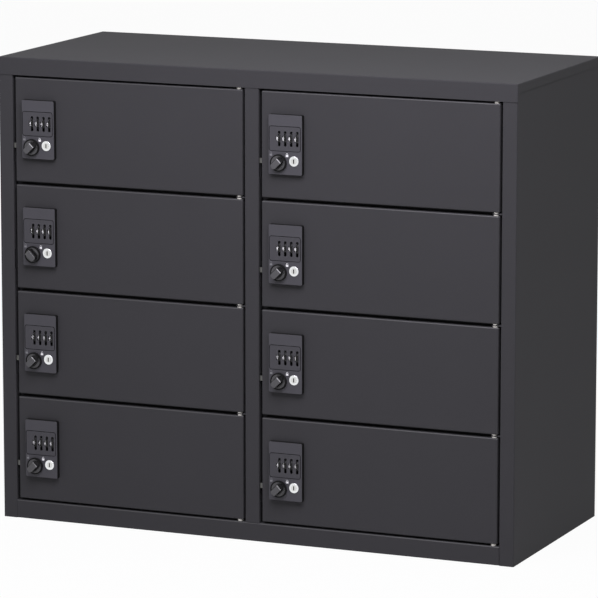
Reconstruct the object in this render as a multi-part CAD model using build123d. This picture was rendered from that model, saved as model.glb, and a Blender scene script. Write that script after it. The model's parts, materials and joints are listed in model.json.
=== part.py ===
from build123d import *
import math
import os

# Personal locker: a folded steel cabinet with two columns of four doors, each door with a
# combination lock. Millimetres. While a piece is being made, x runs from the left side panel,
# y from the front of the doors towards the back, and z from the floor. save() then moves it, so
# that the origin is the middle of the underside of the whole locker.

# Cabinet
body_width = 880.0
body_depth = 380.0
body_height = 750.0
sheet = 1.0
bend_radius = 1.0
rows = 4
columns = 2
post_width = 24.0
post_depth = 16.0
post_lip = 10.0
rear_flange = 15.0
cap_front_height = 28.0
cap_side_height = 14.0
cap_bend = 1.8
rail_height = 30.0
base_lip = 15.0
stop_lip_height = 15.0
shelf_lip_height = 15.0
welding_gap = 0.2

# Doors
lock_side_gap = 5.0
hinge_side_gap = 3.6
top_gap = 3.5
bottom_gap = 3.5
door_gap = 5.5
door_depth = 18.0
door_lip = 10.0
door_bend = 2.0

# Hinges
hinge_inset = 7.0
hinge_setback = 5.5
pin_radius = 2.5
pin_reach = 6.0
running_clearance = 0.05
swing_clearance = 1.0
hinge_plate_thickness = 2.0
hinge_plate_reach = 6.0
hinge_plate_front = 2.5
hinge_plate_back = 12.0
hinge_plate_corner = 3.0
washer_radius = 4.2

# Bumpers
bumper_radius = 4.0
bumper_below_door_top = 6.0
bumper_from_edge = 45.0

# Lock case, measured from the top left corner of its front plate
plate_width = 57.0
plate_height = 94.0
plate_proud = 8.0
plate_corner = 2.5
plate_edge = 0.8
plate_inset = 15.0
plate_above_middle = 2.0
cover_left = 2.0
cover_right = 53.8
cover_top = 18.7
cover_bottom = 56.6
cover_thickness = 1.5
cover_corner = 3.0
cover_groove = 0.9
case_wall = 2.5
case_back_wall = 1.5
cutout_clearance = 0.4

# Number wheels
wheels = 4
wheel_pitch = 10.15
wheel_row = 37.5
digit_column = 15.0
ridge_column = 18.4
drum_width = 4.4
drum_radius = 8.7
ridge_width = 3.4
ridge_radius = 11.3
notch_depth = 0.8
digits_on_wheel = 10
ridge_share = 0.64
notch_floor_share = 0.16
ridge_proud = 0.8
wheel_clearance = 1.2
wheel_shaft_radius = 2.0
digit_window_height = 8.0
slot_height = 23.7
slot_clearance = 0.4
slot_corner = 1.6

# Knob, its spindle and its cam
knob_column = 17.8
knob_row = 75.4
knob_radius = 13.2
knob_disc_thickness = 3.5
knob_disc_edge = 1.0
grip_width = 10.0
grip_length = 20.5
grip_height = 9.5
grip_corner = 4.0
grip_edge = 1.2
knob_lift = 0.3
spindle_radius = 4.0
boss_radius = 7.0
boss_depth = 2.8
cam_lift = 0.5
cam_thickness = 3.0
cam_width = 8.0
cam_hub_radius = 8.0
cam_engagement = 8.0
cam_slot_clearance = 0.7
cam_stud_radius = 2.5
cam_nut_flats = 8.0
cam_nut_height = 3.5
locked_angle = 45.0

# Key cylinder
cylinder_column = 43.5
cylinder_row = 71.9
bezel_radius = 8.0
bezel_height = 1.5
bezel_edge = 0.5
barrel_radius = 6.5
barrel_depth = 13.0
plug_radius = 4.7
plug_proud = 0.2
keyhole_width = 1.8
keyhole_height = 6.6
keyhole_depth = 7.0

# Screws that hold the lock to the door
screw_places = ((28.5, 9.0), (46.0, 87.0))
screw_radius = 1.9
screw_bite = 6.0
screw_head_radius = 3.6
screw_head_height = 2.2
screw_clearance = 0.1

# Sizes and places that follow from the ones above
column_width = (body_width - (columns + 1) * post_width) / columns
column_pitch = column_width + post_width
door_width = column_width - lock_side_gap - hinge_side_gap
opening_height = body_height - cap_front_height - rail_height
door_height = (opening_height - top_gap - bottom_gap - (rows - 1) * door_gap) / rows
door_pitch = door_height + door_gap
skirt_bottom = body_height - cap_front_height
rear_swing = math.hypot(hinge_inset, door_depth - hinge_setback)
stop_front = hinge_setback + rear_swing + swing_clearance
back_front = body_depth - 2 * sheet
partition_centre = post_width + column_width + post_width / 2
wheel_axis = ridge_radius - plate_proud - ridge_proud
chamber_back = wheel_axis + ridge_radius + wheel_clearance
chamber_left = digit_column - drum_width / 2 - wheel_clearance
chamber_right = ridge_column + (wheels - 1) * wheel_pitch + ridge_width / 2 + wheel_clearance
chamber_half = slot_height / 2 + wheel_clearance
cam_front = boss_depth + cam_lift
cam_back = cam_front + cam_thickness
cam_reach = plate_inset + knob_column + lock_side_gap + cam_engagement
cam_tip = math.hypot(cam_reach, cam_width / 2)
knob_front = -plate_proud - knob_lift - knob_disc_thickness - grip_height
front_most = knob_front
rear_most = body_depth + sheet
middle = (front_most + rear_most) / 2
column_names = ("left", "right")


def block(x0, x1, y0, y1, z0, z1):
    """A box between two corners."""
    return Pos(x0, y0, z0) * Box(x1 - x0, y1 - y0, z1 - z0, align=(Align.MIN, Align.MIN, Align.MIN))


def rod_x(x0, x1, y, z, radius):
    """A round bar along x."""
    bar = Cylinder(radius, x1 - x0, align=(Align.CENTER, Align.CENTER, Align.MIN))
    return Pos(x0, y, z) * Rot(0, 90, 0) * bar


def rod_y(x, z, y0, y1, radius):
    """A round bar along y."""
    bar = Cylinder(radius, y1 - y0, align=(Align.CENTER, Align.CENTER, Align.MIN))
    return Pos(x, y0, z) * Rot(-90, 0, 0) * bar


def rod_z(x, y, z0, z1, radius):
    """A round bar along z."""
    return Pos(x, y, z0) * Cylinder(radius, z1 - z0, align=(Align.CENTER, Align.CENTER, Align.MIN))


def edges_along(shape, axis, *corners):
    """The straight edges of shape along axis that pass through one of the corners."""
    found = []
    for edge in shape.edges().filter_by(axis):
        for corner in corners:
            x, y, z = corner
            at = edge.center()
            hits = [want is None or abs(want - have) < 0.001 for want, have in zip((x, y, z), at)]
            if all(hits):
                found.append(edge)
    return found


def cut_into(shape, *boxes):
    """The part of shape in each box: a folded sheet's flat walls, as solids that meet face to face."""
    return [shape & box for box in boxes]


def cut_along_y(shape, *places):
    """shape cut through at each of the places, from the front to the back."""
    ends = (-body_depth, *places, 2 * body_depth)
    return cut_into(shape, *[block(0, body_width, front, back, 0, body_height)
                             for front, back in zip(ends, ends[1:])])


def folded(points):
    """The section of a sheet folded square along points, its thickness to the right of the line."""
    rights = []
    for (x0, y0), (x1, y1) in zip(points, points[1:]):
        length = math.hypot(x1 - x0, y1 - y0)
        rights.append(((y1 - y0) / length, -(x1 - x0) / length))
    inside = []
    for i, (x, y) in enumerate(points):
        near = rights[max(i - 1, 0) : i + 1]
        inside.append((x + sheet * sum(n[0] for n in near), y + sheet * sum(n[1] for n in near)))
    section = make_face(Polyline(*points, *reversed(inside), close=True))
    for i in range(1, len(points) - 1):
        before, after = rights[i - 1], rights[i]
        turns_right = before[0] * after[1] - before[1] * after[0] < 0
        outer, inner = (points[i], inside[i]) if turns_right else (inside[i], points[i])
        for corner, radius in ((outer, bend_radius + sheet), (inner, bend_radius)):
            nearest = section.vertices().sort_by_distance((*corner, 0))[0]
            section = fillet(nearest, radius)
    return section


def door_left(column):
    """The x of a column's doors at their lock side."""
    return post_width + column * column_pitch + lock_side_gap


def door_bottom(row):
    """The z of the underside of a row's doors; row 1 is at the top."""
    return rail_height + bottom_gap + (rows - row) * door_pitch


def hinge_x(column):
    """The x of a column's hinge axis."""
    return door_left(column) + door_width - hinge_inset


def knob_z(row):
    """The z of the axis of a row's knobs."""
    return door_bottom(row) + lock_corner()[1] - knob_row


def cam_slot(wall_left, wall_right, reach, row):
    """The slot that a row's cams swing through, in a wall that lies reach away from the knob."""
    drop = math.sqrt(cam_tip**2 - reach**2)
    top = knob_z(row) + cam_width / 2 + cam_slot_clearance
    bottom = knob_z(row) - drop - cam_slot_clearance
    front, back = cam_front - cam_slot_clearance, cam_back + cam_slot_clearance
    return block(wall_left, wall_right, front, back, bottom, top)


def make_left_side():
    """The left side panel, folded round into its front post and its rear flange: post, wall, flange."""
    line = [
        (post_width - post_lip, post_depth),
        (post_width, post_depth),
        (post_width, 0),
        (0, 0),
        (0, body_depth),
        (rear_flange, body_depth),
    ]
    panel = extrude(folded(line), amount=body_height - sheet)
    reach = cam_reach - cam_engagement
    for row in range(1, rows + 1):
        panel -= cam_slot(post_width - 2 * sheet, post_width + sheet, reach, row)
    return cut_along_y(panel, post_depth, body_depth - sheet - bend_radius)


def make_right_side():
    """The right side panel, a mirror of the left one without the slots for the cams."""
    line = [
        (body_width - rear_flange, body_depth),
        (body_width, body_depth),
        (body_width, 0),
        (body_width - post_width, 0),
        (body_width - post_width, post_depth),
        (body_width - post_width + post_lip, post_depth),
    ]
    panel = extrude(folded(line), amount=body_height - sheet)
    return cut_along_y(panel, post_depth, body_depth - sheet - bend_radius)


def make_partition():
    """The centre post and the sheet behind it, with slots for the right column's cams."""
    left, right = partition_centre - post_width / 2, partition_centre + post_width / 2
    outside = make_face(Polyline((left, 0), (right, 0), (right, post_depth), (left, post_depth), close=True))
    outside = fillet(outside.vertices(), bend_radius + sheet)
    inside = make_face(
        Polyline(
            (left + sheet, sheet),
            (right - sheet, sheet),
            (right - sheet, post_depth - sheet),
            (left + sheet, post_depth - sheet),
            close=True,
        )
    )
    inside = fillet(inside.vertices(), bend_radius)
    height = body_height - sheet - rail_height
    post = Pos(0, 0, rail_height) * extrude(outside - inside, amount=height)
    half = sheet / 2
    web = block(partition_centre - half, partition_centre + half, post_depth - half, back_front,
                rail_height, body_height - sheet)
    partition = post + web
    reach = cam_reach - cam_engagement
    for row in range(1, rows + 1):
        partition -= cam_slot(right - 2 * sheet, right + sheet, reach, row)
    return cut_along_y(partition, post_depth)


def make_back():
    """The flat back panel, behind the shelves and inside the side panels' rear flanges."""
    inset = sheet + bend_radius
    return block(inset, body_width - inset, back_front, back_front + sheet, 0, body_height - sheet)


def make_base():
    """The base: front rail, deck and rear skirt in one folded sheet, with lips to stand on.

    A tab at each end of the rail is turned back along the post that it is welded to.
    """
    line = [
        (base_lip, 0),
        (0, 0),
        (0, rail_height),
        (back_front, rail_height),
        (back_front, 0),
        (back_front - base_lip, 0),
    ]
    section = Plane.YZ * folded(line)
    base = Pos(post_width, 0, 0) * extrude(section, amount=body_width - 2 * post_width)
    behind_post = post_depth + welding_gap
    for x0, x1 in ((sheet, post_width), (body_width - post_width, body_width - sheet)):
        base += block(x0, x1, behind_post, back_front - sheet - bend_radius, rail_height - sheet, rail_height)
    for tab_left in (post_width, body_width - post_width - sheet):
        base += block(tab_left, tab_left + sheet, sheet, base_lip, sheet, rail_height - sheet)
    for column in range(columns):
        x = hinge_x(column)
        base -= rod_z(x, hinge_setback, 0, body_height, pin_radius + running_clearance)
    return base


def make_cap():
    """The top cap: its top sheet and its skirts at the front, the back and the sides."""
    cap = block(-sheet, body_width + sheet, -sheet, body_depth + sheet, skirt_bottom, body_height)
    upright = cap.edges().filter_by(Axis.Z)
    cap = fillet(upright, cap_bend)
    cap = fillet(cap.faces().sort_by(Axis.Z)[-1].edges(), cap_bend)
    cap -= block(0, body_width, 0, body_depth, 0, body_height - sheet)
    side_bottom = body_height - cap_side_height
    cap -= block(-2 * sheet, body_width + 2 * sheet, 0, body_depth + 2 * sheet, 0, side_bottom)
    return cut_into(
        cap,
        block(0, body_width, 0, body_depth, skirt_bottom, body_height),
        block(-sheet, body_width + sheet, -sheet, 0, skirt_bottom, body_height),
        block(-sheet, body_width + sheet, body_depth, body_depth + sheet, skirt_bottom, body_height),
        block(-sheet, 0, 0, body_depth, skirt_bottom, body_height),
        block(body_width, body_width + sheet, 0, body_depth, skirt_bottom, body_height),
    )


def make_headers():
    """Over each column, the ledge that the top pins sit in and the lip that the door closes against."""
    headers = []
    for column in range(columns):
        left = post_width + column * column_pitch
        right = left + column_width
        stop_back = stop_front + sheet
        ledge = block(left, right, 0, stop_back, skirt_bottom, skirt_bottom + sheet)
        ledge -= rod_z(hinge_x(column), hinge_setback, 0, body_height, pin_radius + running_clearance)
        lip = block(left, right, stop_front, stop_back, skirt_bottom - stop_lip_height, skirt_bottom)
        headers += [ledge, lip]
    return headers


def make_shelves(column):
    """A column's shelves, each a deck with a lip turned down at the front, the back and the sides."""
    left = sheet if column == 0 else partition_centre + sheet / 2
    right = partition_centre - sheet / 2 if column == 0 else body_width - sheet
    shelves = []
    for row in range(1, rows):
        top = door_bottom(row)
        shelf = block(left, right, stop_front, back_front, top - shelf_lip_height, top)
        front_edge = edges_along(shelf, Axis.X, (None, stop_front, top))
        shelf = fillet(front_edge, bend_radius)
        low, under = top - shelf_lip_height, top - sheet
        behind, before = stop_front + sheet, back_front - sheet
        shelf -= block(left + sheet, right - sheet, behind, before, low - sheet, under)
        shelves += cut_into(
            shelf,
            block(left, right, stop_front, back_front, under, top),
            block(left, right, stop_front, behind, low, under),
            block(left, right, before, back_front, low, under),
            block(left, left + sheet, behind, before, low, under),
            block(right - sheet, right, behind, before, low, under),
        )
    return shelves


def hinge_levels():
    """Each gap that hinge pins cross: bottom and top z, and whether a door lies below and above."""
    levels = [(rail_height, door_bottom(rows), False, True)]
    for row in range(rows, 1, -1):
        levels.append((door_bottom(row) + door_height, door_bottom(row - 1), True, True))
    levels.append((door_bottom(1) + door_height, skirt_bottom, True, False))
    return levels


def make_hinge_plates():
    """The plates between the doors that carry the pins, welded to the posts."""
    plates = []
    for column in range(columns):
        x = hinge_x(column)
        post_face = door_left(column) + door_width + hinge_side_gap
        for low, high, below, above in hinge_levels():
            if not (below and above):
                continue
            z = (low + high - hinge_plate_thickness) / 2
            top = z + hinge_plate_thickness
            plate = block(x - hinge_plate_reach, post_face, hinge_plate_front, hinge_plate_back, z, top)
            free_end = plate.edges().filter_by(Axis.Z).sort_by(Axis.X)[:2]
            plate = fillet(free_end, hinge_plate_corner)
            plate -= rod_z(x, hinge_setback, z, top, pin_radius + running_clearance)
            plates.append(plate)
    return plates


def make_hinge_pins():
    """One pin through each gap, reaching into the doors above and below it."""
    pins = []
    for column in range(columns):
        for low, high, below, above in hinge_levels():
            bottom = low - sheet - pin_reach
            top = high + sheet + pin_reach
            pins.append(rod_z(hinge_x(column), hinge_setback, bottom, top, pin_radius))
    return pins


def make_hinge_washers():
    """A washer above and below each door, filling what the hinge plates leave of the gap."""
    washers = []
    for column in range(columns):
        x = hinge_x(column)
        for low, high, below, above in hinge_levels():
            thickness = (high - low - hinge_plate_thickness) / 2 if below and above else high - low
            for here, z in ((below, low), (above, high - thickness)):
                if here:
                    washer = rod_z(x, hinge_setback, z, z + thickness, washer_radius)
                    washer -= rod_z(x, hinge_setback, z, z + thickness, pin_radius + running_clearance)
                    washers.append(washer)
    return washers


def make_bumpers():
    """Two rubber bumpers for each door, on the lip behind its top edge."""
    bumpers = []
    for column in range(columns):
        left = door_left(column)
        for row in range(1, rows + 1):
            z = door_bottom(row) + door_height - bumper_below_door_top
            for x in (left + bumper_from_edge, left + door_width - bumper_from_edge):
                bumpers.append(rod_y(x, z, door_depth, stop_front, bumper_radius))
    return bumpers


def lock_corner():
    """The place of the lock plate's top left corner on a door."""
    return plate_inset, door_height / 2 + plate_height / 2 + plate_above_middle


def make_door():
    """A door: a pan with lips turned in at the back, cut for its lock, its cam and its pins.

    Its solids are the front sheet, the four walls and the four lips.
    """
    door = block(0, door_width, 0, door_depth, 0, door_height)
    door = fillet(door.edges().filter_by(Axis.Y), bend_radius)
    door = fillet(door.faces().sort_by(Axis.Y)[0].edges(), door_bend)
    door -= block(sheet, door_width - sheet, sheet, door_depth - sheet, sheet, door_height - sheet)
    rim = sheet + door_lip
    door -= block(rim, door_width - rim, sheet, door_depth + sheet, rim, door_height - rim)
    x, z = lock_corner()
    side = case_wall + cutout_clearance
    door -= block(x + chamber_left - side, x + chamber_right + side, -sheet, 2 * sheet,
                  z - wheel_row - chamber_half - side, z - wheel_row + chamber_half + side)
    holes = [
        (knob_column, knob_row, boss_radius + cutout_clearance),
        (cylinder_column, cylinder_row, barrel_radius + cutout_clearance),
    ]
    holes += [(u, w, screw_radius + screw_clearance) for u, w in screw_places]
    for u, w, radius in holes:
        door -= rod_y(x + u, z - w, -sheet, 2 * sheet, radius)
    slot = cam_slot(-sheet, 2 * sheet, cam_reach - cam_engagement - lock_side_gap - sheet, rows)
    door -= Pos(0, 0, -door_bottom(rows)) * slot
    pin_x = door_width - hinge_inset
    door -= rod_z(pin_x, hinge_setback, -sheet, door_height + sheet, pin_radius + running_clearance)
    right, top = door_width - sheet, door_height - sheet
    lips = door_depth - sheet
    return cut_into(
        door,
        block(0, door_width, 0, sheet, 0, door_height),
        block(0, sheet, sheet, door_depth, 0, door_height),
        block(right, door_width, sheet, door_depth, 0, door_height),
        block(sheet, right, sheet, door_depth, 0, sheet),
        block(sheet, right, sheet, door_depth, top, door_height),
        block(sheet, rim, lips, door_depth, sheet, top),
        block(door_width - rim, right, lips, door_depth, sheet, top),
        block(rim, door_width - rim, lips, door_depth, sheet, rim),
        block(rim, door_width - rim, lips, door_depth, door_height - rim, top),
    )


def make_case_body():
    """The lock's case: its front plate, the box behind it for the wheels, and the knob's boss."""
    body = block(0, plate_width, -plate_proud, 0, -plate_height, 0)
    body = fillet(body.edges().filter_by(Axis.Y), plate_corner)
    body = fillet(body.faces().sort_by(Axis.Y)[0].edges(), plate_edge)
    low, high = -wheel_row - chamber_half, -wheel_row + chamber_half
    body += block(chamber_left - case_wall, chamber_right + case_wall, -sheet,
                  chamber_back + case_back_wall, low - case_wall, high + case_wall)
    body += rod_y(knob_column, -knob_row, -sheet, boss_depth, boss_radius)
    groove = cover_groove
    cover_back = cover_thickness - plate_proud
    recess = block(cover_left - groove, cover_right + groove, -2 * plate_proud, cover_back,
                   -cover_bottom - groove, -cover_top + groove)
    recess = fillet(recess.edges().filter_by(Axis.Y), cover_corner + groove)
    body -= recess
    body -= block(chamber_left, chamber_right, cover_back, chamber_back, low, high)
    overlap = case_wall - cover_groove
    body -= rod_x(chamber_left - overlap, chamber_right + overlap, wheel_axis, -wheel_row,
                  wheel_shaft_radius + running_clearance)
    body -= rod_y(knob_column, -knob_row, -2 * plate_proud, boss_depth, spindle_radius + running_clearance)
    body -= rod_y(cylinder_column, -cylinder_row, -2 * plate_proud, sheet, barrel_radius + running_clearance)
    for u, w in screw_places:
        body -= rod_y(u, -w, -screw_bite, sheet, screw_radius + running_clearance)
    return body


def make_cover():
    """The dial cover, with a window for each digit and a slot for each wheel's ridged edge."""
    back = cover_thickness - plate_proud
    cover = block(cover_left, cover_right, -plate_proud, back, -cover_bottom, -cover_top)
    cover = fillet(cover.edges().filter_by(Axis.Y), cover_corner)
    for i in range(wheels):
        digit = digit_column + i * wheel_pitch
        ridge = ridge_column + i * wheel_pitch
        window = digit_window_height / 2
        cover -= block(digit - drum_width / 2, ridge, -2 * plate_proud, 0,
                       -wheel_row - window, -wheel_row + window)
        half = ridge_width / 2 + slot_clearance
        slot = block(ridge - half, ridge + half, -2 * plate_proud, 0,
                     -wheel_row - slot_height / 2, -wheel_row + slot_height / 2)
        cover -= fillet(slot.edges().filter_by(Axis.Y), slot_corner)
    return cover


def make_barrel():
    """The fixed part of the key cylinder: its bezel and its barrel."""
    front = -plate_proud - bezel_height
    bezel = rod_y(cylinder_column, -cylinder_row, front, -plate_proud, bezel_radius)
    rim = bezel.edges().filter_by(GeomType.CIRCLE).sort_by(Axis.Y)[0]
    bezel = fillet(rim, bezel_edge)
    inside_bezel = -plate_proud - bezel_edge
    barrel = bezel + rod_y(cylinder_column, -cylinder_row, inside_bezel, barrel_depth, barrel_radius)
    bore = rod_y(cylinder_column, -cylinder_row, front, barrel_depth, plug_radius + running_clearance)
    return barrel - bore


def make_screws():
    """The screws that hold the case to the door, their heads behind the door's front sheet."""
    screws = []
    for u, w in screw_places:
        shank = rod_y(u, -w, -screw_bite, sheet, screw_radius)
        screws.append(shank + rod_y(u, -w, sheet, sheet + screw_head_height, screw_head_radius))
    return screws


def make_wheel_shaft():
    """The shaft that a lock's four wheels turn on."""
    overlap = case_wall - cover_groove
    return rod_x(chamber_left - overlap, chamber_right + overlap, wheel_axis, -wheel_row, wheel_shaft_radius)


def make_wheels():
    """Four number wheels: a plain drum for the digits, and a ridged edge to turn it by."""
    top, floor = ridge_share / 2, notch_floor_share / 2
    notch = ridge_radius - notch_depth
    corners = ((-top, ridge_radius), (top, ridge_radius), (0.5 - floor, notch), (0.5 + floor, notch))
    outline = []
    for i in range(digits_on_wheel):
        for share, radius in corners:
            angle = 2 * math.pi * (i + share) / digits_on_wheel
            outline.append((radius * math.cos(angle), radius * math.sin(angle)))
    ring = extrude(Plane.YZ * make_face(Polyline(*outline, close=True)), amount=ridge_width)
    drum_start = digit_column - drum_width / 2
    ridge_start = ridge_column - ridge_width / 2
    made = []
    for i in range(wheels):
        drum_left = drum_start + i * wheel_pitch
        ring_left = ridge_start + i * wheel_pitch
        inside_ring = ring_left + ridge_width / 2
        wheel = rod_x(drum_left, inside_ring, wheel_axis, -wheel_row, drum_radius)
        wheel += Pos(ring_left, wheel_axis, -wheel_row) * ring
        wheel -= rod_x(0, plate_width, wheel_axis, -wheel_row, wheel_shaft_radius + running_clearance)
        made.append(wheel)
    return made


def turned(shape, angle):
    """shape turned about the knob's axis, anticlockwise as seen from the front."""
    x, z = knob_column, -knob_row
    return Pos(x, 0, z) * Rot(0, -angle, 0) * Pos(-x, 0, -z) * shape


def make_knob(angle):
    """The knob with its grip bar and its spindle, its grip at this angle from level."""
    x, z = knob_column, -knob_row
    back = -plate_proud - knob_lift
    face = back - knob_disc_thickness
    disc = rod_y(x, z, face, back, knob_radius)
    disc = fillet(disc.edges().filter_by(GeomType.CIRCLE), knob_disc_edge)
    grip = block(x - grip_length / 2, x + grip_length / 2, knob_front, back,
                 z - grip_width / 2, z + grip_width / 2)
    grip = fillet(grip.edges().filter_by(Axis.Y), grip_corner)
    grip = fillet(grip.faces().sort_by(Axis.Y)[0].edges(), grip_edge)
    spindle = rod_y(x, z, back - sheet, cam_front, spindle_radius)
    stud = rod_y(x, z, cam_front - sheet, cam_back + cam_nut_height, cam_stud_radius)
    return turned(disc + grip + spindle + stud, angle)


def make_cam(angle):
    """The cam and the nut that holds it on the spindle; at angle 0 the cam points to the post."""
    x, z = knob_column, -knob_row
    hub = rod_y(x, z, cam_front, cam_back, cam_hub_radius)
    bottom, top = z - cam_width / 2, z + cam_width / 2
    tongue = block(x - cam_reach, x, cam_front, cam_back, bottom, top)
    tip = edges_along(tongue, Axis.Y, (x - cam_reach, None, bottom), (x - cam_reach, None, top))
    cam = hub + fillet(tip, cam_width / 4)
    nut = Plane.XZ * RegularPolygon(cam_nut_flats / 2, 6, major_radius=False)
    nut = Pos(x, cam_back, z) * extrude(nut, amount=-cam_nut_height)
    hole = rod_y(x, z, 0, cam_back + cam_nut_height, cam_stud_radius + running_clearance)
    return [turned(cam - hole, angle), turned(nut - hole, angle)]


def make_plug():
    """The part of the key cylinder that turns with the key, with its keyhole."""
    front = -plate_proud - bezel_height - plug_proud
    x, z = cylinder_column, -cylinder_row
    plug = rod_y(x, z, front, barrel_depth, plug_radius)
    keyhole = block(x - keyhole_width / 2, x + keyhole_width / 2, front, front + keyhole_depth,
                    z - keyhole_height / 2, z + keyhole_height / 2)
    return plug - keyhole


def save(name, *shapes):
    """Writes a piece, or a group of separate pieces, in the locker's own frame."""
    moved = [Pos(-body_width / 2, -middle, 0) * shape for shape in shapes]
    solids = [solid for shape in moved for solid in shape.solids()]
    whole = solids[0] if len(solids) == 1 else Compound(children=solids)
    whole.label = name
    export_step(whole, f"parts/{name}.step")


def door_is_locked(column, row):
    """All the locks are shown locked, but for the second one of the left column."""
    return (column, row) != (0, 2)


def main():
    os.makedirs("parts", exist_ok=True)
    save("top_cap", *make_cap(), *make_headers())
    save("left_side_panel", *make_left_side())
    save("right_side_panel", *make_right_side())
    save("centre_partition", *make_partition())
    save("back_panel", make_back())
    save("base_panel", make_base())
    for column in range(columns):
        save(f"{column_names[column]}_shelves", *make_shelves(column))
    save("hinge_plates", *make_hinge_plates())
    save("hinge_pins", *make_hinge_pins())
    save("hinge_washers", *make_hinge_washers())
    save("door_bumpers", *make_bumpers())

    door = make_door()
    case = [make_case_body(), make_cover(), make_barrel(), make_wheel_shaft(), *make_screws()]
    number_wheels = make_wheels()
    plug = make_plug()
    knobs = {True: make_knob(locked_angle), False: make_knob(locked_angle + 90)}
    cams = {True: make_cam(0), False: make_cam(90)}
    lock_x, lock_z = lock_corner()
    for column in range(columns):
        for row in range(1, rows + 1):
            name = f"{column_names[column]}_{row}"
            on_door = Pos(door_left(column), 0, door_bottom(row))
            on_lock = on_door * Pos(lock_x, 0, lock_z)
            locked = door_is_locked(column, row)
            save(f"door_panel_{name}", *[on_door * piece for piece in door])
            save(f"lock_case_{name}", *[on_lock * piece for piece in case])
            save(f"number_wheels_{name}", *[on_lock * wheel for wheel in number_wheels])
            save(f"lock_knob_{name}", on_lock * knobs[locked])
            save(f"lock_cam_{name}", *[on_lock * piece for piece in cams[locked]])
            save(f"key_cylinder_{name}", on_lock * plug)


main()
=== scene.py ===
# %% [markdown]
# # A steel personal locker, dressed and lit
#
# The locker is a folded steel cabinet with two columns of four doors, and every door has a
# combination lock. Its shapes come in as a fixed frame of solids that are already the right
# size. What is left for this lesson is everything that makes it look real: the finishes, the
# printed digits and signs, the light, and a camera that stands where a product photographer's
# would. All lengths are in metres, so a small helper turns millimetres into metres.

# %% Load the frame
import json
import math

import bmesh
import bpy
from mathutils import Matrix, Vector


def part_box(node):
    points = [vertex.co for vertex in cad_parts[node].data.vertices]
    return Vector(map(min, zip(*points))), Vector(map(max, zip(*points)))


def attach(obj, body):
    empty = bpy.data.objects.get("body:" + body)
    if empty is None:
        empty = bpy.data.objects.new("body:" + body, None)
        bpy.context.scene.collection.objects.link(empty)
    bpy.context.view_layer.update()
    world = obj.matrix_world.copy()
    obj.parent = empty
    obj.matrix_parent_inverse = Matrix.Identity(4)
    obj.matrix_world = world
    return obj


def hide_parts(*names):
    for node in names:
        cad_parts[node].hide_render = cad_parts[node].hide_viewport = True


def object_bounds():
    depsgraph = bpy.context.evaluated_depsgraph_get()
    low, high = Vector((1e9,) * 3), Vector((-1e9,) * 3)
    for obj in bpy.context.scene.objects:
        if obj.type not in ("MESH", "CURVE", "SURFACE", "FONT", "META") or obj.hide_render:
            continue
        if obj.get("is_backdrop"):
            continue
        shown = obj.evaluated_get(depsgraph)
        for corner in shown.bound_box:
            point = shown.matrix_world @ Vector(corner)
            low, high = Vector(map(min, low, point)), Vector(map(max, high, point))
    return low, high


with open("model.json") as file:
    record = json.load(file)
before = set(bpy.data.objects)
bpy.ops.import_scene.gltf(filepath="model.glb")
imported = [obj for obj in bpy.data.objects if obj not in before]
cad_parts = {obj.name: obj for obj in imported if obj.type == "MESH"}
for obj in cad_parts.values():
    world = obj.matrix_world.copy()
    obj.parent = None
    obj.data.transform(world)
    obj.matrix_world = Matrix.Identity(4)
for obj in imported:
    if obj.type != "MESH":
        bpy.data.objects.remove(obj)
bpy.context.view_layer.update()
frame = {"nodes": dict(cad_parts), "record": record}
nodes = frame["nodes"]


def mm(length):
    """A length in millimetres as metres."""
    return length / 1000


# %% [markdown]
# ## The camera
#
# The locker was photographed from the right and a little above, with a long lens from several
# metres away, so its edges stay nearly parallel. Such a lens is set by its focal length and the
# width of its film, both in millimetres, the place of the camera, and the point it looks at. The
# point lies on the front of the doors, near the middle of the picture.

# %% Camera
lens_length, film_width = 254.4, 36.0
camera_place = Vector((2.638, -6.135, 1.560))
aim_point = Vector((0.0804, -0.1799, 0.3948))
nearest_seen, furthest_seen = 0.05, 200.0


def aim(thing, place, target):
    """Puts a camera or a lamp at a place and turns it towards a target."""
    thing.location = place
    thing.rotation_mode = "QUATERNION"
    thing.rotation_quaternion = (Vector(target) - Vector(place)).to_track_quat("-Z", "Y")


camera_data = bpy.data.cameras.new("camera")
camera_data.lens = lens_length
camera_data.sensor_width = film_width
camera_data.clip_start, camera_data.clip_end = nearest_seen, furthest_seen
camera = bpy.data.objects.new("camera", camera_data)
aim(camera, camera_place, aim_point)
bpy.context.scene.collection.objects.link(camera)
bpy.context.scene.camera = camera
print("camera to locker:", round((aim_point - camera_place).length, 2), "m")

# %% [markdown]
# ## Writing shaders as arithmetic
#
# A finish such as powder coat is a few noise patterns that nudge a colour, a roughness and a
# bump. Wiring that by hand gives long lists of nodes. Here one small class stands for an output
# socket, and the usual operators add Math nodes, so a mask is written as `1 - noise * 0.3`.
# Every other node comes from its one method `node`, which sets the node's settings first and
# its sockets after them. A Mix node has sockets for each kind of data, and those for colours are
# its inputs 6 and 7 and its output 2.

# %% A socket that does arithmetic
first_colour, second_colour, mixed_colour = 6, 7, 2


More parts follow.
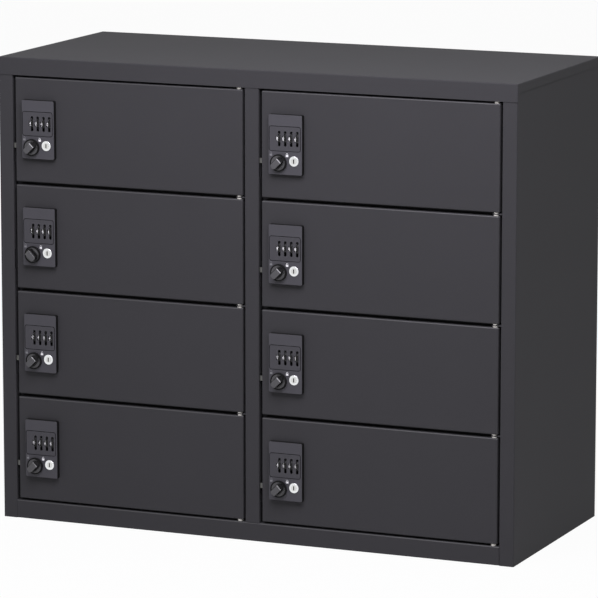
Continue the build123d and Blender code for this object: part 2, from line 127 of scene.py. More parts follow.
class Wire:
    """One output socket in a node tree, on which arithmetic adds Math nodes."""

    def __init__(self, tree, socket=None):
        self.tree, self.socket = tree, socket

    def node(self, kind, settings=None, sockets=None, output=0):
        """A new shader node of this kind: its settings first, then its sockets' values or wires."""
        made = self.tree.nodes.new("ShaderNode" + kind)
        for name, value in (settings or {}).items():
            setattr(made, name, value)
        for name, value in (sockets or {}).items():
            if isinstance(value, Wire):
                self.tree.links.new(value.socket, made.inputs[name])
            else:
                made.inputs[name].default_value = value
        return Wire(self.tree, made.outputs[output])

    def maths(self, operation, *values):
        """A Math node on these numbers or wires."""
        return self.node("Math", {"operation": operation}, dict(enumerate(values)))

    def __add__(self, other):
        return self.maths("ADD", self, other)

    def __radd__(self, other):
        return self.maths("ADD", other, self)

    def __sub__(self, other):
        return self.maths("SUBTRACT", self, other)

    def __rsub__(self, other):
        return self.maths("SUBTRACT", other, self)

    def __mul__(self, other):
        return self.maths("MULTIPLY", self, other)

    def __rmul__(self, other):
        return self.maths("MULTIPLY", other, self)

    def clamped(self):
        """This number kept between 0 and 1."""
        return self.node("Clamp", None, {"Value": self})

    def tint(self, low, high):
        """A colour that goes from low to high as this number goes from 0 to 1."""
        ends = {first_colour: (*low, 1.0), second_colour: (*high, 1.0)}
        return self.node("Mix", {"data_type": "RGBA"}, {0: self, **ends}, output=mixed_colour)

    def bump(self, height):
        """The surface's normal where this number from 0 to 1 raises it by up to height."""
        return self.node("Bump", None, {"Strength": 1.0, "Distance": height, "Height": self})


print("methods of a wire:", ", ".join(name for name in vars(Wire) if not name.startswith("_")))

# %% [markdown]
# ## Three helpers for finishes
#
# Every finish starts with an empty tree and ends at the material's output, and almost all of them
# read noise. The noise takes Object coordinates, so a pattern stays on its piece when the piece
# moves, and its pitch is given in millimetres.

# %% Start a material, end it, and read noise


def new_material(name):
    """A material and a wire to build its nodes on, with an empty tree."""
    material = bpy.data.materials.new(name)
    material.use_nodes = True
    material.node_tree.nodes.clear()
    return material, Wire(material.node_tree)


def finish(material, wire, surface):
    """Joins a shader to the material's output."""
    output = material.node_tree.nodes.new("ShaderNodeOutputMaterial")
    wire.tree.links.new(surface.socket, output.inputs["Surface"])
    return material


def speckle(wire, pitch, detail=2.0):
    """Noise from 0 to 1 whose spots are about this many millimetres across."""
    place = wire.node("TexCoord", output="Object")
    return wire.node("TexNoise", None, {"Vector": place, "Scale": 1 / mm(pitch), "Detail": detail,
                                        "Roughness": 0.5})


print("noise with a pitch of 1 mm has a scale of", round(1 / mm(1)))

# %% [markdown]
# ## The powder coat
#
# Powder is sprayed on dry and melts into a skin that isn't quite flat: it has a soft "orange
# peel" with a pitch of about a millimetre and, in a satin charcoal such as this, a much finer
# grain on top. Both are bump, not paint, so they only show where light grazes the sheet. The
# colour drifts by a few percent over a hand's width, which keeps large doors from looking like
# flat card.
#
# Hands and cloths rub the upper bends of the doors and the rail smooth, and those catch the light
# from above as thin bright lines. A bend is found by its surface normal: its upward part `up` is 0
# on the front and 1 on a flat top, so `up * (1 - up)` is only more than 0 in between, on the bend.
# Its highest value is a quarter, so 4 times that is a mask, which sets the weight of a smoother
# coat. The cap and the posts get the same paint unrubbed.

# %% Powder coat
coat_dark, coat_pale = (0.0416, 0.0412, 0.0438), (0.0476, 0.0471, 0.0501)
coat_roughness, coat_roughness_spread, coat_shine = 0.76, 0.05, 0.12
peel_pitch, peel_height = 1.4, mm(0.010)
grain_pitch, grain_height = 0.35, mm(0.004)
drift_pitch, drift_share = 90.0, 0.7
rubbed_roughness, rub_of_bends = 0.38, 0.75


def make_powder_coat(name, rub):
    """The paint, with its upper bends rubbed smooth from 0, not at all, to 1, wholly."""
    material, wire = new_material(name)
    drift = speckle(wire, drift_pitch, detail=3.0)
    peel = speckle(wire, peel_pitch, detail=1.0)
    grain = speckle(wire, grain_pitch)
    turn = wire.node("NewGeometry", output="Normal")
    up = wire.node("SeparateXYZ", None, {0: turn}, output="Z")
    relief_height = peel_height + grain_height
    relief = peel * (peel_height / relief_height) + grain * (grain_height / relief_height)
    lowest_roughness = coat_roughness - coat_roughness_spread
    shader = wire.node("BsdfPrincipled", None, {
        "Base Color": (drift * drift_share + grain * (1 - drift_share)).tint(coat_dark, coat_pale),
        "Roughness": (lowest_roughness + drift * coat_roughness_spread
                      + grain * coat_roughness_spread),
        "Specular IOR Level": coat_shine,
        "Coat Weight": (up * (1 - up) * (4 * rub)).clamped(),
        "Coat Roughness": rubbed_roughness,
        "Normal": relief.bump(relief_height),
    })
    return finish(material, wire, shader)


powder_coat = make_powder_coat("satin_charcoal_powder_coat", 0.0)
rubbed_coat = make_powder_coat("rubbed_charcoal_powder_coat", rub_of_bends)
print("nodes in the powder coat:", len(powder_coat.node_tree.nodes))

# %% [markdown]
# ## The lock's plastics
#
# The lock plate is moulded in a tool that was spark eroded, which leaves an even matt grain of
# small pits. A Voronoi pattern gives the pits, and a little noise breaks up their rows. The
# knob and the number wheels come from smoother tools: the same grain, finer and shallower. The
# walls of the case and of the knob's grip are black, and only their faces are grey: the black is
# painted shade, for the dark that falls along the sides of the plate and the grip.

# %% One recipe for moulded plastic
pit_share, pit_smoothness = 0.7, 0.6
fine_pitch_share = 0.6
cloud_pitch = 14.0
moulded_roughness_spread = 0.10


def make_moulded(name, dark, pale, roughness, pit_pitch, pit_depth, shine=0.5):
    """A grained plastic between two colours, with pits of this pitch and depth in millimetres."""
    material, wire = new_material(name)
    place = wire.node("TexCoord", output="Object")
    pits = wire.node("TexVoronoi", {"feature": "SMOOTH_F1"},
                     {"Vector": place, "Scale": 1 / mm(pit_pitch), "Smoothness": pit_smoothness})
    fine = speckle(wire, pit_pitch * fine_pitch_share)
    cloud = speckle(wire, cloud_pitch)
    lowest_roughness = roughness - moulded_roughness_spread / 2
    shader = wire.node("BsdfPrincipled", None, {
        "Base Color": (cloud * 0.5 + fine * 0.5).tint(dark, pale),
        "Roughness": lowest_roughness + fine * moulded_roughness_spread,
        "Specular IOR Level": shine,
        "Normal": (pits * pit_share + fine * (1 - pit_share)).bump(mm(pit_depth)),
    })
    return finish(material, wire, shader)


print("pits make", pit_share, "of the relief, and noise the rest")

# %% The lock plate and its cover
case_plastic = make_moulded(
    "grained_grey_plastic", dark=(0.056, 0.055, 0.062), pale=(0.066, 0.065, 0.073),
    roughness=0.62, pit_pitch=0.45, pit_depth=0.012, shine=0.25)
cover_plastic = make_moulded(
    "grained_grey_cover_plastic", dark=(0.050, 0.049, 0.055), pale=(0.059, 0.058, 0.065),
    roughness=0.60, pit_pitch=0.40, pit_depth=0.012, shine=0.25)
# Black painted shade for the walls of the plate and cover, and inside the keyholes.
painted_shade_black = make_moulded(
    "black_plastic_for_painted_shade", dark=(0.006, 0.006, 0.006), pale=(0.009, 0.009, 0.009),
    roughness=0.75, pit_pitch=0.35, pit_depth=0.010, shine=0.1)
print("plate finishes:", case_plastic.name, cover_plastic.name, painted_shade_black.name)

# %% The knob and the wheels
# The knob's black is painted shade on its walls, and the grip's paler grey is painted light on the
# disc's plastic.
knob_plastic = make_moulded(
    "black_knob_painted_shade", dark=(0.006, 0.006, 0.006), pale=(0.009, 0.009, 0.009),
    roughness=0.28, pit_pitch=0.30, pit_depth=0.004)
disc_plastic = make_moulded(
    "satin_grey_disc_plastic", dark=(0.060, 0.060, 0.062), pale=(0.070, 0.070, 0.072),
    roughness=0.42, pit_pitch=0.35, pit_depth=0.006, shine=0.35)
painted_light_grip = make_moulded(
    "paler_grey_painted_light_plastic", dark=(0.066, 0.066, 0.069), pale=(0.078, 0.078, 0.081),
    roughness=0.42, pit_pitch=0.35, pit_depth=0.006, shine=0.35)
edge_plastic = make_moulded(
    "polished_edge_plastic", dark=(0.040, 0.040, 0.041), pale=(0.050, 0.050, 0.051),
    roughness=0.26, pit_pitch=0.30, pit_depth=0.001, shine=1.0)
wheel_plastic = make_moulded(
    "black_wheel_plastic", dark=(0.004, 0.004, 0.004), pale=(0.006, 0.006, 0.006),
    roughness=0.36, pit_pitch=0.30, pit_depth=0.004, shine=0.25)
print("knob finishes:", knob_plastic.name, disc_plastic.name, painted_light_grip.name, edge_plastic.name)

# %% Washers and bumpers
nylon = make_moulded(
    "natural_nylon", dark=(0.50, 0.49, 0.44), pale=(0.60, 0.59, 0.54),
    roughness=0.45, pit_pitch=0.30, pit_depth=0.004)
# The black rubber also makes the rings of painted shade round the knobs.
rubber = make_moulded(
    "black_rubber_and_painted_shade", dark=(0.006, 0.006, 0.006), pale=(0.009, 0.009, 0.009),
    roughness=0.75, pit_pitch=0.35, pit_depth=0.010, shine=0.1)
print("washers and bumpers:", nylon.name, rubber.name)

# %% [markdown]
# ## The metals
#
# Chrome plate is almost a mirror. What gives it away as real is faint polishing haze, so its
# roughness isn't quite even. The zinc plate on pins, cams and screws is duller and slightly
# cloudy, because it is dipped and not polished.

# %% Metals
haze_share, scratch_pitch_share = 0.6, 0.12


def make_metal(name, dark, pale, smooth, hazy, pitch, relief):
    """A plated metal, smooth to hazy in clouds of this pitch, with scratches this deep, in mm."""
    material, wire = new_material(name)
    cloud = speckle(wire, pitch, detail=3.0)
    scratch = speckle(wire, pitch * scratch_pitch_share)
    haze = cloud * haze_share + scratch * (1 - haze_share)
    shader = wire.node("BsdfPrincipled", None, {
        "Base Color": cloud.tint(dark, pale),
        "Metallic": 1.0,
        "Roughness": smooth + haze * (hazy - smooth),
        "Normal": scratch.bump(mm(relief)),
    })
    return finish(material, wire, shader)


chrome = make_metal("bright_chrome", dark=(0.78, 0.79, 0.80), pale=(0.86, 0.87, 0.88),
                    smooth=0.05, hazy=0.16, pitch=3.0, relief=0.0006)
plug_metal = make_metal("nickel_plug", dark=(0.66, 0.66, 0.65), pale=(0.74, 0.74, 0.73),
                        smooth=0.14, hazy=0.28, pitch=2.0, relief=0.001)
zinc = make_metal("zinc_plate", dark=(0.46, 0.46, 0.43), pale=(0.60, 0.60, 0.57),
                  smooth=0.28, hazy=0.46, pitch=5.0, relief=0.003)
# The cams' dark zinc is painted shade, for the dark gaps they sit in.
shaded_cam_zinc = make_metal("zinc_darkened_as_painted_shade", dark=(0.10, 0.10, 0.10), pale=(0.15, 0.15, 0.14),
                       smooth=0.40, hazy=0.55, pitch=5.0, relief=0.003)
print("metals:", chrome.name, plug_metal.name, zinc.name, shaded_cam_zinc.name)

# %% [markdown]
# ## Printed marks
#
# Digits and signs are pad printed: a thin, slightly uneven film of white ink. The closed
# padlock is full white, and the open one beside it is printed in a dim grey.

# %% Ink
ink_roughness, ink_roughness_spread = 0.45, 0.15
ink_cover_pitch, ink_relief = 0.5, mm(0.003)


def make_ink(name, thin, full):
    """Pad printing ink, which covers a little unevenly."""
    material, wire = new_material(name)
    cover = speckle(wire, ink_cover_pitch, detail=3.0)
    shader = wire.node("BsdfPrincipled", None, {
        "Base Color": cover.tint(thin, full),
        "Roughness": ink_roughness + cover * ink_roughness_spread,
        "Normal": cover.bump(ink_relief),
    })
    return finish(material, wire, shader)


white_ink = make_ink("white_ink", thin=(0.82, 0.82, 0.82), full=(0.92, 0.92, 0.92))
dim_ink = make_ink("dim_grey_ink", thin=(0.15, 0.15, 0.16), full=(0.20, 0.20, 0.21))
print("inks:", white_ink.name, dim_ink.name)

# %% [markdown]
# ## Finishes on the solids
#
# Each solid's record names the finish it has. A dictionary from those names to the materials
# above dresses all of them in one loop, so a new door would be dressed by itself. Two finishes
# are finer than the record's: the cams' zinc is dark, as painted shade for the dark gaps beside
# the doors where they sit, and the doors and the base, whose front is the rail, have the rubbed
# coat.

# %% Dress the solids
finishes = {
    "powder_coated_steel": powder_coat,
    "lock_plastic": case_plastic,
    "wheel_plastic": wheel_plastic,
    "knob_plastic": knob_plastic,
    "chrome": plug_metal,
    "plated_steel": zinc,
    "nylon": nylon,
    "bumper_rubber": rubber,
}
for part in frame["record"]["subparts"]:
    mesh = nodes[part["node"]].data
    mesh.materials.clear()
    if part["node"].startswith("lock_cam_"):
        mesh.materials.append(shaded_cam_zinc)
    elif part["node"].startswith("door_panel_") or part["node"] == "base_panel":
        mesh.materials.append(rubbed_coat)
    else:
        mesh.materials.append(finishes[part["material_slot"]])

# %% [markdown]
# ## The lock cases in their own materials
#
# A lock case is one solid node of several pieces: the grey case, the dial cover, the chrome
# bezel with its barrel, the shaft of the wheels and two screws. They need different finishes,
# so the node's mesh is copied, its doubles are merged, and the copy is taken apart into its
# loose pieces. A search over joined edges finds each one, and its size says which it is.

# %% Turn a bmesh into an object
crease_angle = math.radians(30)
flat_face_weight = 80


def own_object(name, work, *materials):
    """An object made from a bmesh, at the origin, with smooth shading up to its creases."""
    mesh = bpy.data.meshes.new(name)
    work.to_mesh(mesh)
    work.free()
    for material in materials:
        mesh.materials.append(material)
    mesh.shade_smooth()
    mesh.set_sharp_from_angle(angle=crease_angle)
    made = bpy.data.objects.new(name, mesh)
    bpy.context.scene.collection.objects.link(made)
    return made


def keep_flats_flat(made):
    """Makes large faces set the shading's normals, so that a rounded edge doesn't tint a flat."""
    weighted = made.modifiers.new("flat faces", "WEIGHTED_NORMAL")
    weighted.keep_sharp = True
    weighted.weight = flat_face_weight


print("creases from", round(math.degrees(crease_angle)), "degrees")

# %% Find the loose pieces of a node
merge_distance = mm(0.002)
flat_angle = math.radians(0.5)


def joined_verts(work):
    """The vertices of a bmesh as sets, one for each piece that edges hold together."""
    pieces, seen = [], set()
    for start in work.verts:
        found, to_search = set(), [] if start in seen else [start]
        while to_search:
            vert = to_search.pop()
            if vert not in found:
                found.add(vert)
                to_search += [e.other_vert(vert) for e in vert.link_edges]
        seen |= found
        if found:
            pieces.append(found)
    return pieces


def loose_pieces(node):
    """The node's separate pieces, each as a bmesh with its doubles merged."""
    whole = bmesh.new()
    whole.from_mesh(nodes[node].data)
    bmesh.ops.remove_doubles(whole, verts=whole.verts, dist=merge_distance)
    bmesh.ops.dissolve_limit(whole, angle_limit=flat_angle, verts=whole.verts, edges=whole.edges)
    copies = []
    for found in joined_verts(whole):
        copy = whole.copy()  # this also numbers the vertices of whole anew
        copy.verts.ensure_lookup_table()
        keep = {v.index for v in found}
        bmesh.ops.delete(copy, geom=[v for v in copy.verts if v.index not in keep], context="VERTS")
        copies.append(copy)
    whole.free()
    return copies


def span(work):
    """The lowest and highest corner of a bmesh."""
    low = Vector([min(v.co[i] for v in work.verts) for i in range(3)])
    high = Vector([max(v.co[i] for v in work.verts) for i in range(3)])
    return low, high


doors = sorted(name.removeprefix("lock_case_") for name in nodes if name.startswith("lock_case_"))
print("doors:", ", ".join(doors))

# %% Name and dress each piece of a lock case
front_facing = -0.75
face_zone = mm(1)
upper_screw_zone = mm(20)
piece_kinds = (  # name, least width, least height, material, slot
    ("case", 0, mm(60), case_plastic, "lock_plastic"),
    ("dial_cover", mm(45), mm(30), cover_plastic, "lock_plastic"),
    ("wheel_shaft", mm(25), 0, zinc, "plated_steel"),
    ("bezel", mm(12), 0, chrome, "chrome"),
    ("screw", 0, 0, zinc, "plated_steel"),
)
plate_corner = {}


def faces_front(face):
    """Whether a face looks forward, and isn't a wall or the outer half of a rounded edge."""
    return face.normal.y < front_facing


def paint_walls_as_shade(piece, front):
    """Gives the second material, black painted shade, to all faces but those on the plastic's
    front.
    """
    for face in piece.faces:
        shows = faces_front(face) and face.calc_center_median().y < front + face_zone
        face.material_index = 0 if shows else 1


def kind_of(size):
    """The name, material and slot of the first kind that a piece of this size can be."""
    for name, least_width, least_height, material, slot in piece_kinds:
        if size.x > least_width and size.z > least_height:
            return name, material, slot


for door in doors:
    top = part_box("lock_case_" + door)[1].z
    for piece in loose_pieces("lock_case_" + door):
        low, high = span(piece)
        name, material, slot = kind_of(high - low)
        if name == "screw":
            name = "screw_upper" if high.z > top - upper_screw_zone else "screw_lower"
        if slot == "lock_plastic":
            paint_walls_as_shade(piece, low.y)
        made = own_object(f"{name}_{door}", piece, material, painted_shade_black)
        keep_flats_flat(made)
        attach(made, "door_" + door)
        if name == "case":
            plate_corner[door] = Vector((low.x, low.y, high.z))
            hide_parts("lock_case_" + door)
print("lock cases:", len(plate_corner))

# %% [markdown]
# ## Knobs in painted light and shade
#
# The knob's walls are black, as painted shade, and it has two grey faces of one plastic: its disc
# and the top of its grip, which is paler as painted light. The grip's edge is polished by fingers.
# It is one solid with one finish in the frame, so a merged copy gets its materials face by face,
# chosen by depth.
#
# The disc is dished, so that a finger finds room beside the grip: its face is cut into strips along
# the grip, the foot of the grip is moved back, and a crest beside it is moved forward, steep and
# painted black on its outer side as shade. The end of the grip that points at the signs is cut
# back to a slope painted black as shade, and a narrow polished facet between face and slope
# catches the light.

# %% Cut only some faces
slack = mm(0.02)
grip_height, disc_thickness = mm(9.5), mm(3.5)
# black is painted shade, and grip_grey, paler than disc_grey, is painted light.
black, disc_grey, grip_grey, polished = range(4)


def cut(work, faces, place, direction, clear=False):
    """Cuts these faces with a plane, and may clear what lies on its far side."""
    edges = dict.fromkeys(e for f in faces for e in f.edges)
    verts = dict.fromkeys(v for f in faces for v in f.verts)
    bmesh.ops.bisect_plane(work, geom=[*faces, *edges, *verts], plane_co=place, plane_no=direction,
                           clear_outer=clear)


print("places may be off by", round(slack * 1000, 3), "mm")

# %% The slope at the grip's end
end_cuts = (  # how far from the knob's axis, lean from the front, material
    # The slope is black as painted shade, and the facet is polished.
    (mm(6.9), math.radians(68.5), black),
    (mm(6.2), math.radians(39), polished),
)


def slope_end(knob, tip, along):
    """Cuts the grip's upper end back to a slope, and the slope's rim to a facet."""
    for reach, lean, material in end_cuts:
        grip = [f for f in knob.faces if f.calc_center_median().y < tip.y + grip_height - slack]
        direction = along * math.sin(lean) - Vector((0, math.cos(lean), 0))
        cut(knob, grip, tip + along * reach, direction, clear=True)
        rim = [e for e in knob.edges if e.is_boundary]
        for face in bmesh.ops.contextual_create(knob, geom=rim)["faces"]:
            face.material_index = material


print("cuts at a grip's end:", len(end_cuts))

# %% The dish and its crests
dish_radius, dish_depth = mm(11.0), mm(0.9)
crest_reach, crest_height, crest_slope = mm(6.6), mm(0.6), mm(0.7)
crest_half_length = mm(8.5)
crest_lean = 0.3


def dish(knob, centre, along):
    """Moves the foot of the grip back and a crest along each side of it forward."""
    across = along.cross(Vector((0, 1, 0)))

    def disc_faces():
        return [f for f in knob.faces if all(abs(v.co.y - centre.y) < slack for v in f.verts)]

    foot = {v for f in disc_faces() for v in f.verts if (v.co - centre).length < dish_radius}
    bmesh.ops.triangulate(knob, faces=disc_faces())
    for direction, reach in ((across, crest_reach), (across, crest_reach + crest_slope),
                             (along, crest_half_length)):
        cut(knob, disc_faces(), centre + direction * reach, direction)
        cut(knob, disc_faces(), centre - direction * reach, direction)
    crest = {v for f in disc_faces() for v in f.verts
             if abs(abs((v.co - centre).dot(across)) - crest_reach) < slack
             and abs((v.co - centre).dot(along)) < crest_half_length + slack}
    bmesh.ops.translate(knob, verts=list(crest), vec=(0, -crest_height, 0))
    bmesh.ops.translate(knob, verts=list(foot), vec=(0, dish_depth, 0))
    knob.normal_update()
    # Faces on the crest's outer side are painted black as shade.
    for face in knob.faces:
        at = face.calc_center_median() - centre
        outward = face.normal.dot(across) * math.copysign(1, at.dot(across))
        if abs(at.y) < crest_height and outward > crest_lean:
            face.material_index = black


print("crest above the dish:", round((crest_height + dish_depth) * 1000, 2), "mm")

# %% Make the knobs
grip_edge, face_depth = mm(1.2), mm(0.3)
unlocked = "left_2"


def paint_knob(knob, front):
    """Chooses each face's material by its depth behind the front of the grip."""
    # Faces that match nothing below keep the black: painted shade on the grip's walls.
    for face in knob.faces:
        depth = face.calc_center_median().y - front
        if depth < face_depth and faces_front(face):
            face.material_index = grip_grey
        elif depth < grip_edge - slack:
            face.material_index = polished
        elif abs(depth - grip_height) < face_depth and faces_front(face):
            face.material_index = disc_grey


for door in doors:
    (knob,) = loose_pieces("lock_knob_" + door)
    low, high = span(knob)
    tip = Vector(((low.x + high.x) / 2, low.y, (low.z + high.z) / 2))
    along = Vector((-1 if door == unlocked else 1, 0, 1)).normalized()
    paint_knob(knob, low.y)
    slope_end(knob, tip, along)
    dish(knob, Vector((tip.x, tip.y + grip_height, tip.z)), along)
    made = own_object("knob_" + door, knob, knob_plastic, disc_plastic, painted_light_grip, edge_plastic)
    keep_flats_flat(made)
    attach(made, "knob_" + door)
    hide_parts("lock_knob_" + door)
print("knob faces:", len(made.data.polygons))

# %% [markdown]
# ## Dark keyholes
#
# The key plug is nickel, but its keyhole is a shaft that no light reaches. The plug is one solid
# with one finish too, so its merged copy takes the black painted shade of the case's walls
# wherever a face lies inside the keyhole's box.

# %% Make the key plugs
keyhole_half_width, keyhole_half_height, keyhole_depth = mm(0.9), mm(3.3), mm(7.0)

for door in doors:
    (plug,) = loose_pieces("key_cylinder_" + door)
    low, high = span(plug)
    middle = (low + high) / 2
    for face in plug.faces:
        at = face.calc_center_median() - middle
        depth = at.y + middle.y - low.y
        inside = abs(at.x) < keyhole_half_width + slack and abs(at.z) < keyhole_half_height + slack
        face.material_index = 1 if inside and slack < depth < keyhole_depth + slack else 0
    made = own_object("key_plug_" + door, plug, plug_metal, painted_shade_black)
    keep_flats_flat(made)
    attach(made, "key_" + door)
    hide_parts("key_cylinder_" + door)
print("faces in a plug:", len(made.data.polygons))

# %% [markdown]
# ## Digits on the number wheels
#
# Each wheel carries the digits 0 to 9 round its drum. A digit starts as flat text, which is
# turned into a mesh and cut into narrow bands, because a face that spans the drum would cut
# straight through it. The bands are then bent round the drum's axis, a hair above its surface.

# %% Flat text
capital_share = 0.73
stroke_growth = 0.052
curve_steps = 3
merge_share = 0.001


def flat_text(text, height):
    """Text as a flat bmesh in x and y, centred, with capitals of this height."""
    curve = bpy.data.curves.new("text", "FONT")
    curve.body = text
    curve.size = height / capital_share
    curve.offset = height * stroke_growth
    curve.resolution_u = curve_steps
    holder = bpy.data.objects.new("text", curve)
    bpy.context.scene.collection.objects.link(holder)
    flat = bpy.data.meshes.new_from_object(holder)
    bpy.data.objects.remove(holder)
    bpy.data.curves.remove(curve)
    work = bmesh.new()
    work.from_mesh(flat)
    bpy.data.meshes.remove(flat)
    bmesh.ops.remove_doubles(work, verts=work.verts, dist=height * merge_share)
    low, high = span(work)
    bmesh.ops.translate(work, verts=work.verts, vec=-(low + high) / 2)
    scale = height / (high.y - low.y)
    bmesh.ops.scale(work, verts=work.verts, vec=(scale, scale, 1))
    return work


print("strokes grow by", round(stroke_growth * 100, 1), "% of the height")

# %% Bend a digit round its drum
drum_radius = mm(8.7)
digit_height, digit_width = mm(5.7), mm(2.9)
ink_thickness = mm(0.04)
bands = 9


def digit_on_drum(digit, turn):
    """A digit bent round an axis along x through the origin; turn 0 faces the front."""
    work = flat_text(digit, digit_height)
    low, high = span(work)
    bmesh.ops.scale(work, verts=work.verts, vec=(min(digit_width / (high.x - low.x), 1), 1, 1))
    for i in range(1, bands):
        level = (i / bands - 0.5) * digit_height
        bmesh.ops.bisect_plane(work, geom=work.verts[:] + work.edges[:] + work.faces[:],
                               plane_co=(0, level, 0), plane_no=(0, 1, 0))
    radius = drum_radius + ink_thickness
    for vert in work.verts:
        angle = vert.co.y / radius + turn
        vert.co = Vector((vert.co.x, -radius * math.cos(angle), radius * math.sin(angle)))
    return work


print("a digit spans", round(math.degrees(digit_height / drum_radius)), "degrees of its drum")

# %% Print the digits of every lock
wheel_pitch, digit_middle = mm(10.15), mm(1.3)
digits_round = 10
shown_codes = {"left_1": "4040", "left_2": "7461", "left_3": "0484", "left_4": "0468",
               "right_1": "8686", "right_2": "8888", "right_3": "0681", "right_4": "4666"}


def join(works):
    """Several bmeshes as one."""
    whole = bmesh.new()
    for work in works:
        part = bpy.data.meshes.new("part")
        work.to_mesh(part)
        work.free()
        whole.from_mesh(part)
        bpy.data.meshes.remove(part)
    return whole


def make_digits(door):
    """The digits of one lock's four wheels, with the lock's code at the front."""
    low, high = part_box("number_wheels_" + door)
    axis_y, axis_z = (low.y + high.y) / 2, (low.z + high.z) / 2
    works = []
    for wheel, shown in enumerate(shown_codes[door]):
        middle = low.x + digit_middle + wheel * wheel_pitch
        for step in range(digits_round):
            digit = str((int(shown) + step) % digits_round)
            work = digit_on_drum(digit, -math.tau * step / digits_round)
            bmesh.ops.translate(work, verts=work.verts, vec=(middle, axis_y, axis_z))
            works.append(work)
    made = own_object("digits_" + door, join(works), white_ink)
    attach(made, "wheels_" + door)
    return made


for door in doors:
    digits = make_digits(door)
print("digits on one lock:", len(digits.data.polygons), "faces")

# %% [markdown]
# ## Padlock signs
#
# Two small padlocks beside the knob say which way is locked: a closed white one at the upper
# right, and an open dim one at the upper left. Each is a flat body with a bent bar over it, a
# few hundredths of a millimetre proud of the plate. The bar is half a ring made by a spin, with
# short straight legs: two on the closed padlock, and one longer leg on the open one.

# %% Draw a padlock
sign_width, sign_height, sign_corner = mm(4.2), mm(3.2), mm(0.5)
shackle_radius, shackle_thickness = mm(1.35), mm(0.55)
shackle_leg = {"closed": mm(0.9), "open": mm(1.44)}
corner_steps, shackle_steps = 3, 12


def flat_padlock(kind):
    """A padlock as a flat bmesh in x and y, with its body centred on the origin."""
    work = bmesh.new()
    bmesh.ops.create_grid(work, x_segments=1, y_segments=1, size=0.5)  # its side is 1, twice this
    bmesh.ops.scale(work, verts=work.verts, vec=(sign_width, sign_height, 1))
    bmesh.ops.bevel(work, geom=work.verts[:], offset=sign_corner, segments=corner_steps,
                    profile=0.5, affect="VERTICES", material=-1)
    leg = shackle_leg[kind]
    start = sign_height / 2 + leg
    inner, outer = shackle_radius - shackle_thickness / 2, shackle_radius + shackle_thickness / 2
    ends = [work.verts.new((r, start, 0)) for r in (inner, outer)]
    bar = work.edges.new(ends)
    spun = bmesh.ops.spin(work, geom=[*ends, bar], axis=(0, 0, 1), cent=(0, start, 0),
                          angle=math.pi, steps=shackle_steps)
    last = [g for g in spun["geom_last"] if isinstance(g, bmesh.types.BMEdge)]
    for edge in [bar, *last] if kind == "closed" else [bar]:
        grown = bmesh.ops.extrude_edge_only(work, edges=[edge])["geom"]
        bmesh.ops.translate(work, verts=[g for g in grown if isinstance(g, bmesh.types.BMVert)],
                            vec=(0, -leg, 0))
    return work


print("a sign is", round(sign_width * 1000, 2), "mm wide")

# %% Print the signs on every plate
sign_places = {"closed": (mm(31.7), mm(64.0)), "open": (mm(4.4), mm(63.4))}
upright = Matrix.Rotation(math.radians(90), 4, "X")


def make_sign(door, kind, material):
    """A padlock on one lock's plate, placed from the plate's upper left corner."""
    work = flat_padlock(kind)
    right, down = sign_places[kind]
    bmesh.ops.transform(work, matrix=upright, verts=work.verts)
    bmesh.ops.translate(work, verts=work.verts,
                        vec=plate_corner[door] + Vector((right, -ink_thickness, -down)))
    bmesh.ops.recalc_face_normals(work, faces=work.faces)
    bmesh.ops.reverse_faces(work, faces=[f for f in work.faces if f.normal.y > 0])
    made = own_object(f"{kind}_padlock_sign_{door}", work, material)
    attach(made, "door_" + door)
    return made


for door in doors:
    make_sign(door, "closed", white_ink)
    sign = make_sign(door, "open", dim_ink)
print("faces in a sign:", len(sign.data.polygons))

# %% [markdown]
# ## Black rings of painted shade round the knobs
#
# A black ring runs round each knob's disc and outlines it against the plate: painted shade for the
# gap round the disc. Its section is a small rounded bar, and a full spin of that section round the
# knob's axis gives the ring.

# %% Rings of painted shade
ring_inside, ring_outside, ring_proud = mm(11.4), mm(13.45), mm(0.3)
ring_rounding, ring_steps = mm(0.28), 64


def make_shade_ring(door):
    """The black ring of painted shade round one lock's knob."""
    low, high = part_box("lock_knob_" + door)
    middle_x, middle_z = (low.x + high.x) / 2, (low.z + high.z) / 2
    front = low.y + grip_height - ring_proud
    back = low.y + grip_height + disc_thickness
    work = bmesh.new()
    section = [work.verts.new((middle_x + radius, depth, middle_z)) for radius, depth in (
        (ring_inside, front), (ring_outside, front), (ring_outside, back), (ring_inside, back))]
    work.faces.new(section)
    bmesh.ops.bevel(work, geom=section[:2], offset=ring_rounding, segments=corner_steps,
                    profile=0.5, affect="VERTICES", material=-1)
    outline = work.edges[:]
    bmesh.ops.delete(work, geom=work.faces[:], context="FACES_ONLY")
    bmesh.ops.spin(work, geom=outline, axis=(0, 1, 0), cent=(middle_x, 0, middle_z),
                   angle=math.tau, steps=ring_steps, use_merge=True)
    bmesh.ops.recalc_face_normals(work, faces=work.faces)
    made = own_object("knob_shade_ring_" + door, work, rubber)
    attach(made, "knob_" + door)
    return made


for door in doors:
    ring = make_shade_ring(door)
print("ring faces:", len(ring.data.polygons))

# %% [markdown]
# ## Floor and surroundings
#
# A product photograph stands on a pale sweep that runs out of focus into white. Here one large
# disc is the floor. For the camera and for reflections most of its light is a plain white, and
# the rest is real light on a pale surface, so a soft shadow stays where the locker stands. The
# world is plain white behind it, and lights the locker at a lower level.

# %% Floor
floor_radius, floor_steps, floor_drop = 60.0, 64, mm(0.2)
floor_white = 0.96
pale_grey, pure_white = (0.80, 0.80, 0.80, 1.0), (1.0, 1.0, 1.0, 1.0)


def seen_directly(wire):
    """1 for rays from the camera or from a mirror or glass, else 0."""
    kinds = ("Camera", "Glossy", "Transmission")
    camera_ray, glossy_ray, glass_ray = (wire.node("LightPath", output=f"Is {kind} Ray")
                                         for kind in kinds)
    return (camera_ray + glossy_ray + glass_ray).clamped()


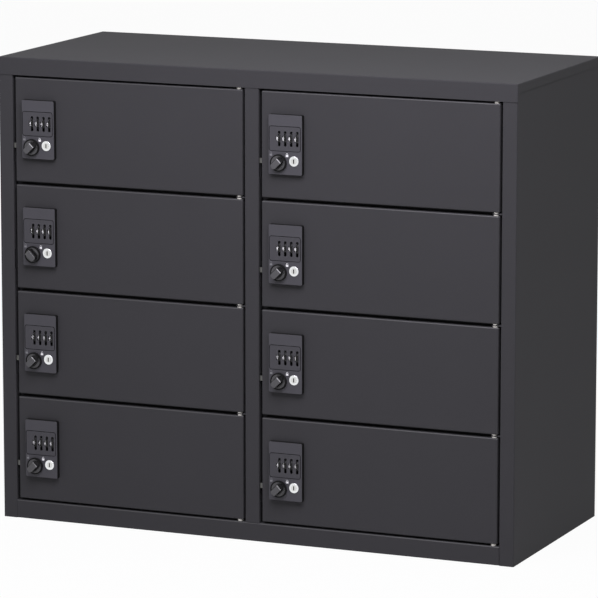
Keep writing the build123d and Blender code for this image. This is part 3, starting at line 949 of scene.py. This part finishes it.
work = bmesh.new()
bmesh.ops.create_circle(work, cap_ends=True, segments=floor_steps, radius=floor_radius)
bmesh.ops.translate(work, verts=work.verts, vec=(0, 0, -floor_drop))
floor_material, wire = new_material("pale_floor")
lit = wire.node("BsdfDiffuse", None, {"Color": pale_grey})
white = wire.node("Emission", None, {"Color": pure_white, "Strength": 1.0})
shown = seen_directly(wire) * floor_white
finish(floor_material, wire, wire.node("MixShader", None, {0: shown, 1: lit, 2: white}))
floor = own_object("floor", work, floor_material)
floor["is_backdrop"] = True
print("floor:", floor_radius * 2, "m across")

# %% World
room_level = 0.28

world = bpy.data.worlds.new("studio")
bpy.context.scene.world = world
world.use_nodes = True
world.node_tree.nodes.clear()
wire = Wire(world.node_tree)
level = room_level + seen_directly(wire) * (1.0 - room_level)
sky = wire.node("Background", None, {"Color": pure_white, "Strength": level})
output = world.node_tree.nodes.new("ShaderNodeOutputWorld")
world.node_tree.links.new(sky.socket, output.inputs["Surface"])
print("light from the room:", room_level)

# %% [markdown]
# ## Lights
#
# One large soft box above and in front gives the doors their fall-off from top to bottom and
# picks out their upper edges and the facets on the knobs. It is a little cooler than the white
# room, as daylight tubes are. A smaller lamp at the upper right adds glints, and a low one behind
# keeps the back from going black.

# %% Lamps


def soft_box(name, place, target, size, power, colour=(1.0, 1.0, 1.0)):
    """A rectangular lamp of this width and height that faces the target."""
    light = bpy.data.lights.new(name, "AREA")
    light.color = colour
    light.shape = "RECTANGLE"
    light.size, light.size_y = size
    light.energy = power
    lamp = bpy.data.objects.new(name, light)
    aim(lamp, place, target)
    lamp.visible_camera = False
    bpy.context.scene.collection.objects.link(lamp)
    return lamp


lamps = [
    soft_box("overhead_soft_box", place=(0.3, -1.1, 1.6), target=(0.1, -0.15, 0.5),
             size=(1.6, 0.8), power=27.0, colour=(0.97, 0.935, 1.04)),
    soft_box("upper_right_lamp", place=(2.0, -2.0, 2.2), target=(0.0, -0.1, 0.4),
             size=(0.4, 0.4), power=4.0),
    soft_box("rear_lamp", place=(-0.9, 2.6, 0.55), target=(0.0, 0.2, 0.45),
             size=(1.6, 0.3), power=16.0),
]
print("lamps:", ", ".join(f"{lamp.name} {lamp.data.energy:.0f} W" for lamp in lamps))

# %% [markdown]
# ## The last cell
#
# The picture is shown in the plain way, so that a colour looks about as it was written. The
# last lines measure the box of the dressed locker and print its size. Dressing may not change
# its size.

# %% Finish
bpy.context.scene.view_settings.view_transform = "Standard"
box_when_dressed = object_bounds()
low, high = (Vector(corner) for corner in box_when_dressed)
print("size when dressed:", [round(length, 4) for length in high - low], "m")
